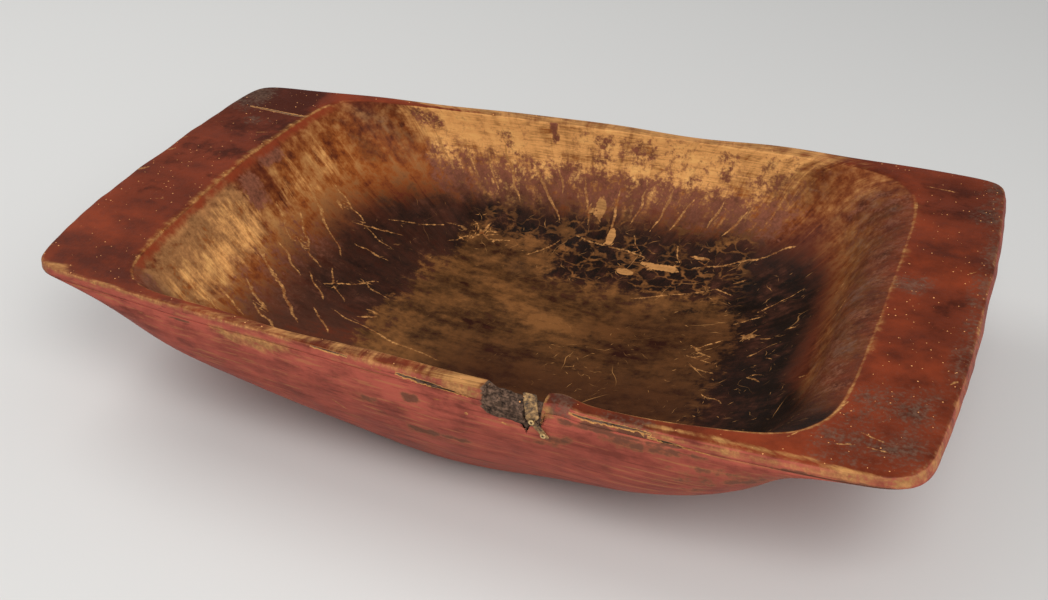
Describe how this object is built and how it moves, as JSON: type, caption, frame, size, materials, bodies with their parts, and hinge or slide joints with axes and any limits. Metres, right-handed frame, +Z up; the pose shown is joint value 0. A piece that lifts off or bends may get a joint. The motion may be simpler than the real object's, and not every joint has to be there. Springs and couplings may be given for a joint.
{
  "type": "wooden trough",
  "caption": "Shallow hewn wooden trough with a flat lug at each end and worn red paint, one rim patched with a strip of hide.",
  "frame": {"origin": "on the base, below the middle of the trough", "axes": "+X along the trough towards its wider end, -Y towards the side with the notch, +Z up out of the hollow"},
  "size_m": [0.804, 0.5148, 0.15],
  "materials": {
    "painted_wood": "oxide red paint worn down to ochre and brown wood, satin with handling",
    "hide": "dry raw hide, matte",
    "dull_brass": "dulled, satin"
  },
  "bodies": {
    "root": {"trough_body": "painted_wood", "rim_thong": "hide", "thong_tack_upper": "dull_brass", "thong_tack_lower": "dull_brass"}
  },
  "joints": []
}
